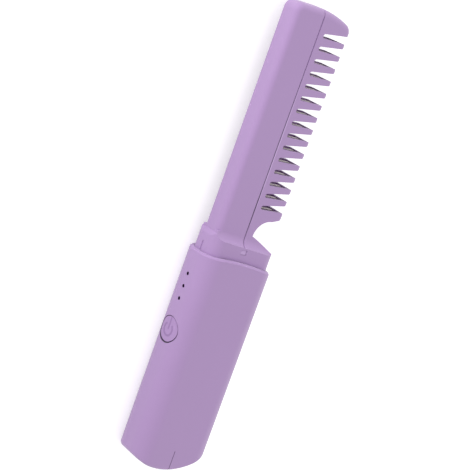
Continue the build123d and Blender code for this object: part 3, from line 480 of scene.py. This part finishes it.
def only(piece):
    """Make one object the only one selected, in object mode."""
    if bpy.context.object and bpy.context.object.mode == "EDIT":
        bpy.ops.object.mode_set(mode="OBJECT")
    bpy.ops.object.select_all(action="DESELECT")
    piece.select_set(True)
    bpy.context.view_layer.objects.active = piece


def copy_below(piece, title):
    """Copy a piece and mirror the copy to the same place on the underside."""
    only(piece)
    bpy.ops.object.duplicate()
    lower = bpy.context.object
    lower.name = title
    bpy.ops.transform.mirror(orient_type="GLOBAL", constraint_axis=(False, False, True),
                             center_override=(0, 0, MIDDLE_Z))
    return lower


# %% Helper that finishes a piece
def hand_over(piece, body, material, smooth_angle=30):
    """Apply what is left, put the place into the mesh, turn the faces outwards, let the piece ride."""
    only(piece)
    for modifier in [modifier.name for modifier in piece.modifiers]:
        bpy.ops.object.modifier_apply(modifier=modifier)
    bpy.ops.object.transform_apply(location=True, rotation=True, scale=True)
    bpy.ops.object.mode_set(mode="EDIT")
    bpy.ops.mesh.select_all(action="SELECT")
    bpy.ops.mesh.remove_doubles(threshold=0.000001)
    bpy.ops.mesh.normals_make_consistent(inside=False)
    bpy.ops.object.mode_set(mode="OBJECT")
    bpy.ops.object.shade_smooth_by_angle(angle=radians(smooth_angle))
    piece.data.materials.append(material)
    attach(piece, body)
    bpy.ops.object.select_all(action="DESELECT")
    print("piece:", piece.name, "faces:", len(piece.data.polygons), "on", body)


# %% [markdown]
# The button carries the usual power sign, pressed very shallow into the plastic: a ring that is
# open towards the head with a bar in the opening. It could be cut into the button, but that is a
# fixed solid, so the sign is a very thin sheet on it, darker lilac as painted shade for the pressed
# sign. A circle is widened to a flat ring and opened, a plane becomes the bar, and the two are laid
# on the curved button by a shrinkwrap.

# %% Ring of the power sign
SIGN_RADIUS = 0.00265
SIGN_STROKE = 0.0008
SIGN_OPENING = 40
SIGN_SIDES = 72
CORNER_SEGMENTS = 4
ABOVE_BUTTON = 0.001

button_low, button_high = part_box("power_button")
button_middle = (button_low + button_high) / 2
sign_place = Vector((button_middle.x, button_low.y - ABOVE_BUTTON, button_middle.z))
inner_radius = SIGN_RADIUS - SIGN_STROKE / 2
bpy.ops.mesh.primitive_circle_add(vertices=SIGN_SIDES, radius=inner_radius, location=sign_place,
                                  rotation=FACING_SPINE)
power_sign = start_shaping("power_sign")
bpy.ops.mesh.extrude_edges_move()
growth = (SIGN_RADIUS + SIGN_STROKE / 2) / inner_radius
bpy.ops.transform.resize(value=(growth, growth, growth), center_override=sign_place)
pick(power_sign, "faces", lambda middle: abs(atan2(middle.y, -middle.x)) < radians(SIGN_OPENING))
bpy.ops.mesh.delete(type="FACE")
ends = pick(power_sign, "verts", lambda place: abs(atan2(place.y, -place.x)) < radians(SIGN_OPENING + 4))
bpy.ops.mesh.bevel(offset=0.4 * SIGN_STROKE, segments=CORNER_SEGMENTS, affect="VERTICES")
only(power_sign)
print("ring corners rounded:", ends)

# %% Bar of the power sign
BAR_LENGTH = 0.0050
BAR_END_X = 0.0001

bar_place = sign_place + Vector((BAR_END_X - BAR_LENGTH / 2, 0, 0))
bpy.ops.mesh.primitive_plane_add(size=1, location=bar_place, rotation=FACING_SPINE)
bar = start_shaping("power_sign_bar")
bpy.ops.transform.resize(value=(BAR_LENGTH, 1, SIGN_STROKE), center_override=bar_place)
bpy.ops.mesh.bevel(offset=0.45 * SIGN_STROKE, segments=CORNER_SEGMENTS, affect="VERTICES")
only(bar)
print("bar length:", BAR_LENGTH)

# %% Lay the sign on the button
SIGN_LIFT = 0.00002
SIGN_SHEET = 0.00008

bar.select_set(True)
power_sign.select_set(True)
bpy.context.view_layer.objects.active = power_sign
bpy.ops.object.join()
bpy.ops.object.transform_apply(location=True, rotation=True, scale=True)
wrap = power_sign.modifiers.new("lie_on_button", "SHRINKWRAP")
wrap.target = nodes["power_button"]
wrap.wrap_method = "PROJECT"
wrap.use_project_y = True
wrap.use_positive_direction = True
wrap.wrap_mode = "ABOVE_SURFACE"
wrap.offset = SIGN_LIFT
sign_sheet = power_sign.modifiers.new("thin_sheet", "SOLIDIFY")
sign_sheet.thickness = SIGN_SHEET
sign_sheet.offset = 0
# Darker lilac: painted shade that stands for the pressed sign.
sign_shade_plastic = finish("lilac_sign_shade", (0.315, 0.19, 0.412), 0.42)
hand_over(power_sign, "button", sign_shade_plastic)

# %% [markdown]
# Three dark clear lenses fill the holes over the charge lights. Each is a shallow dome, which
# catches a small highlight as a flat disc wouldn't. One is made from a sphere that is cut in
# half, flattened and given a short stem, and the other two are copies of it, so all are alike.

# %% Charge light lenses
LENS_RADIUS = 0.00073
LENS_RISE = 0.00008
LENS_STEM = 0.0003
LIGHT_PITCH = 0.00541
LIGHT_COUNT = 3
PIN_CLEARANCE = 0.00001

guide_low, guide_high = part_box("light_guide")
first_light_x = (guide_low.x + guide_high.x) / 2 - LIGHT_PITCH
lens_place = Vector((first_light_x, guide_low.y - PIN_CLEARANCE, MIDDLE_Z))
bpy.ops.mesh.primitive_uv_sphere_add(segments=32, ring_count=16, radius=LENS_RADIUS,
                                     location=lens_place, rotation=FACING_SPINE)
lens = start_shaping("charge_lens_1")
bpy.ops.mesh.bisect(plane_co=lens_place, plane_no=(0, 1, 0), clear_outer=True, use_fill=True)
bpy.ops.mesh.select_all(action="SELECT")
bpy.ops.transform.resize(value=(1, LENS_RISE / LENS_RADIUS, 1), center_override=lens_place)
pick(lens, "faces", lambda middle: abs(middle.z) < 1e-7)
bpy.ops.mesh.extrude_region_move(TRANSFORM_OT_translate={"value": (0, LENS_STEM, 0)})
only(lens)
lenses = [lens]
for number in range(1, LIGHT_COUNT):
    only(lens)
    bpy.ops.object.duplicate()
    lenses.append(bpy.context.object)
    lenses[-1].name = f"charge_lens_{number + 1}"
    bpy.ops.transform.translate(value=(number * LIGHT_PITCH, 0, 0))
lens_plastic = finish("dark_lens_plastic", (0.010, 0.001, 0.018), 0.25, depth=0.000004,
                      drift_scale=500.0, shine=0.04)
for piece in lenses:
    hand_over(piece, "comb", lens_plastic, 50)

# %% [markdown]
# A fine parting line of the mould runs over the broad face of the handle to its rounded end and
# down to the charging port. A mask could paint its shade, as in the seam, but it turns over the
# edge, so it is a dark strip of painted shade: one narrow face whose edge is extruded along the
# top, over the bevel and down the end, and then mirrored for the underside.

# %% Parting line at the charging end
LINE_WIDTH = 0.00028
LINE_START_X = 0.0905
LINE_Y = -0.0009
END_X = 0.09943
END_BEVEL = 0.0008
PORT_EDGE = 0.0024
LINE_TAPER = 0.3
LINE_SHEET = 0.00004

top_z = cad_box[1].z
line_place = Vector((LINE_START_X, LINE_Y, top_z))
bpy.ops.mesh.primitive_plane_add(size=LINE_WIDTH, location=line_place)
parting_line = start_shaping("parting_line")
pick(parting_line, "edges", lambda middle: middle.x < -LINE_WIDTH / 4)
line_end = line_place - Vector((LINE_WIDTH / 2, 0, 0))
bpy.ops.transform.resize(value=(1, LINE_TAPER, 1), center_override=line_end)
pick(parting_line, "edges", lambda middle: middle.x > LINE_WIDTH / 4)
along_top = END_X - END_BEVEL - LINE_START_X - LINE_WIDTH / 2
down_end = PORT_EDGE + MIDDLE_Z - top_z + END_BEVEL
for step in ((along_top, 0, 0), (END_BEVEL, 0, -END_BEVEL), (0, 0, down_end)):
    bpy.ops.mesh.extrude_edges_move(TRANSFORM_OT_translate={"value": step})
only(parting_line)
line_sheet = parting_line.modifiers.new("thin_sheet", "SOLIDIFY")
line_sheet.thickness = LINE_SHEET
line_sheet.offset = 0
bpy.ops.object.modifier_apply(modifier="thin_sheet")
lower_line = copy_below(parting_line, "parting_line_below")
# Dark lilac: painted shade of the parting line.
parting_shade_plastic = finish("lilac_shadow_line", (0.095, 0.05, 0.13), 0.5)
hand_over(parting_line, "comb", parting_shade_plastic)
hand_over(lower_line, "comb", parting_shade_plastic)

# %% [markdown]
# Inside the charging port lie the contacts of its tongue: twelve plated strips on each side. One
# strip is a cube that is stretched, and whose top is inset and raised a little, as a stamped
# contact has. An array lays out the row, and a mirror gives the other side of the tongue.

# %% Port contacts
CONTACT_COUNT = 12
CONTACT_PITCH = 0.0005
CONTACT_SIZE = Vector((0.0034, 0.00028, 0.00008))
CONTACT_SETBACK = 0.0004
CONTACT_INSET = 0.00004
CONTACT_CROWN = 0.00002

tongue_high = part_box("usb_tongue")[1]
contact_place = Vector((tongue_high.x - CONTACT_SETBACK - CONTACT_SIZE.x / 2,
                        -CONTACT_PITCH * (CONTACT_COUNT - 1) / 2, tongue_high.z))
bpy.ops.mesh.primitive_cube_add(size=1, location=contact_place)
contacts = start_shaping("port_contacts")
bpy.ops.transform.resize(value=CONTACT_SIZE, center_override=contact_place)
pick(contacts, "faces", lambda middle: middle.z > CONTACT_SIZE.z / 4)
bpy.ops.mesh.inset(thickness=CONTACT_INSET)
bpy.ops.transform.translate(value=(0, 0, CONTACT_CROWN))
only(contacts)
row = contacts.modifiers.new("row", "ARRAY")
row.count = CONTACT_COUNT
row.use_relative_offset = False
row.use_constant_offset = True
row.constant_offset_displace = (0, CONTACT_PITCH, 0)
bpy.ops.object.modifier_apply(modifier="row")
lower_contacts = copy_below(contacts, "port_contacts_below")
plated = metal("plated_contact", (0.78, 0.56, 0.24), 0.24, depth=0.000005, drift_amount=0.04,
               rub=0.06, drift_scale=600.0)
hand_over(contacts, "comb", plated)
hand_over(lower_contacts, "comb", plated)

# %% [markdown]
# The comb lies on a plain white table in a white room. A floor of full brightness would light the
# comb too much from below, so the table is a pale grey that glows only for rays from the camera
# and for reflections. The room is lifted to full white in the same way.

# %% Brighter to the eye than as a light
def lift_when_seen(tree, lift, base, socket):
    """Set a strength to base, plus a lift for the camera, for reflections and through clear plastic."""
    path = tree.nodes.new("ShaderNodeLightPath")
    seen = path.outputs["Is Camera Ray"]
    for ray in ("Is Glossy Ray", "Is Transmission Ray"):
        either = tree.nodes.new("ShaderNodeMath")
        either.operation = "MAXIMUM"
        tree.links.new(seen, either.inputs[0])
        tree.links.new(path.outputs[ray], either.inputs[1])
        seen = either.outputs["Value"]
    strength = tree.nodes.new("ShaderNodeMath")
    strength.operation = "MULTIPLY_ADD"
    strength.inputs[1].default_value = lift
    strength.inputs[2].default_value = base
    tree.links.new(seen, strength.inputs[0])
    tree.links.new(strength.outputs["Value"], socket)


# %% Floor
FLOOR_SIZE = 4.0
FLOOR_LIFT = 0.5
TABLE_GREY = (0.8, 0.8, 0.8, 1)

bpy.ops.mesh.primitive_plane_add(size=FLOOR_SIZE, location=(0, 0, 0))
floor = bpy.context.object
floor.name = "floor"
table_top = bpy.data.materials.new("white_table")
table_top.use_nodes = True
table_tree = table_top.node_tree
table_shader = table_tree.nodes["Principled BSDF"]
table_shader.inputs["Base Color"].default_value = TABLE_GREY
table_shader.inputs["Roughness"].default_value = 0.8
table_shader.inputs["Emission Color"].default_value = (1, 1, 1, 1)
lift_when_seen(table_tree, FLOOR_LIFT, 0.0, table_shader.inputs["Emission Strength"])
floor.data.materials.append(table_top)
print("floor:", FLOOR_SIZE, "m square")

# %% [markdown]
# Three soft boxes and the white room light the comb. In the photograph the spine is the brightest
# side, most at the head, so the first box stands low on that side and near the head. One beyond
# the head draws the light line along the rim of the sleeve and round the end of the head. A weak
# one on the other side keeps the teeth clear.

# %% Lights
def soft_light(title, place, aim, size, power):
    """A square soft box that faces a point, with its power in watts."""
    bpy.ops.object.light_add(type="AREA", location=place)
    lamp = bpy.context.object
    lamp.name = title
    lamp.data.size = size
    lamp.data.energy = power
    lamp.rotation_euler = (Vector(aim) - Vector(place)).to_track_quat("-Z", "Y").to_euler()
    print("light:", title, power, "W")


soft_light("spine_side_light", (-0.25, -0.42, 0.036), aim=(-0.03, 0, 0.01), size=0.06, power=0.84)
soft_light("head_end_light", (-0.9, -0.1, 0.18), aim=(-0.02, 0, 0.01), size=0.4, power=1.5)
soft_light("teeth_side_light", (0.1, 0.9, 0.3), aim=(0, 0, 0.01), size=0.5, power=1.2)

# %% White room
ROOM_STRENGTH = 0.8

world = bpy.data.worlds.new("studio")
bpy.context.scene.world = world
world.use_nodes = True
sky = world.node_tree
sky.nodes["Background"].inputs["Color"].default_value = (1, 1, 1, 1)
lift_when_seen(sky, 1 - ROOM_STRENGTH, ROOM_STRENGTH, sky.nodes["Background"].inputs["Strength"])
bpy.context.scene.view_settings.view_transform = "Standard"
print("room strength:", ROOM_STRENGTH)
